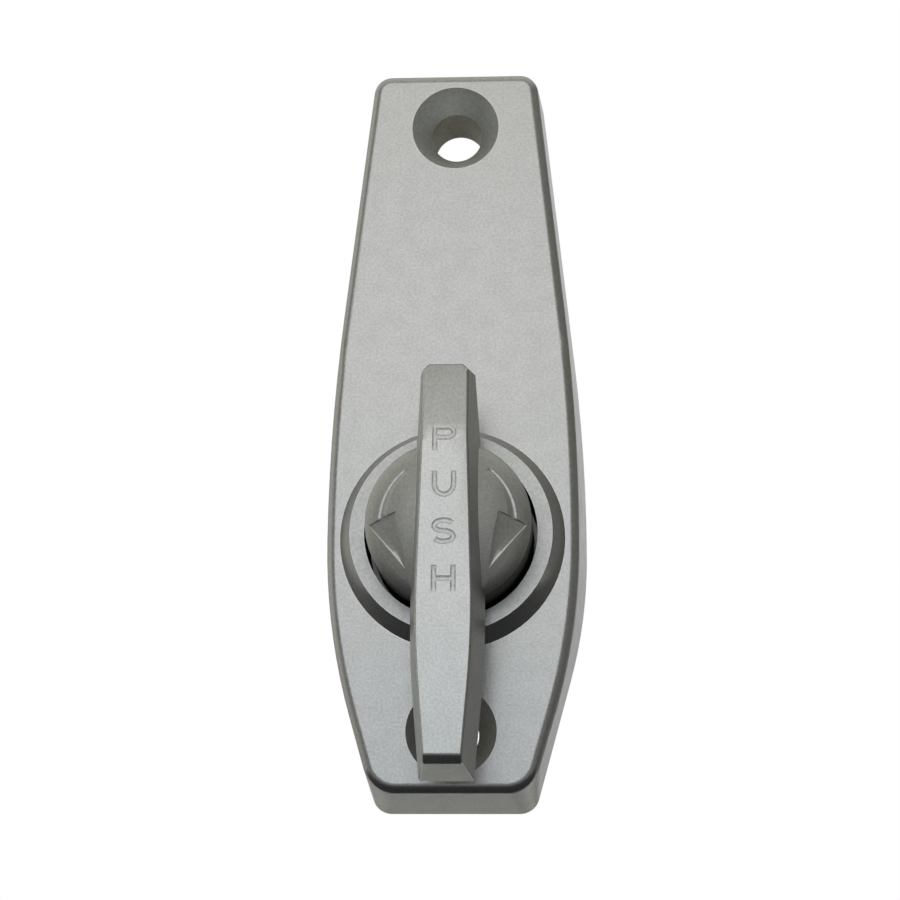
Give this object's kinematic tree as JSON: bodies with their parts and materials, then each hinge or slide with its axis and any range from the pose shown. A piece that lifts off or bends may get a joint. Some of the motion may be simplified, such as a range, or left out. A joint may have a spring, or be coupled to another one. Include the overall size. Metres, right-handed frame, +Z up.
{
  "type": "sliding door thumb latch",
  "caption": "Sliding door thumb latch: long drafted escutcheon with countersunk screw holes and a raised collar, and a sprung push-and-turn lever that drives a tail blade.",
  "frame": {"origin": "midway between the screw holes, on the mounting plane against the door", "axes": "+Y into the door, +Z up along the plate, +X to the right seen from the room"},
  "size_m": [0.0336, 0.0571, 0.097],
  "materials": {
    "satin_casting": "satin silver on a zinc casting",
    "plated_steel": "zinc plated",
    "spring_steel": "oiled",
    "nylon": "natural"
  },
  "bodies": {
    "escutcheon_body": {"escutcheon": "satin_casting", "return_spring": "spring_steel"},
    "plunger": {"thrust_washer": "plated_steel"},
    "thumb": {"thumb_turn": "satin_casting", "tail_blade": "plated_steel", "tail_pin": "plated_steel", "wear_washer": "nylon", "retaining_ring": "spring_steel"}
  },
  "joints": [
    {"name": "push", "type": "slide", "parent": "escutcheon_body", "child": "plunger", "axis": [0, 1, 0], "range_m": [0, 0.003], "stiffness_N_per_m": 565, "springref_m": -0.006, "deforming": ["return_spring"]},
    {"name": "turn", "type": "hinge", "parent": "plunger", "child": "thumb", "pos_m": [0, -0.0041, -0.0154], "axis": [0, -1, 0], "range_deg": [-90, 90]}
  ]
}
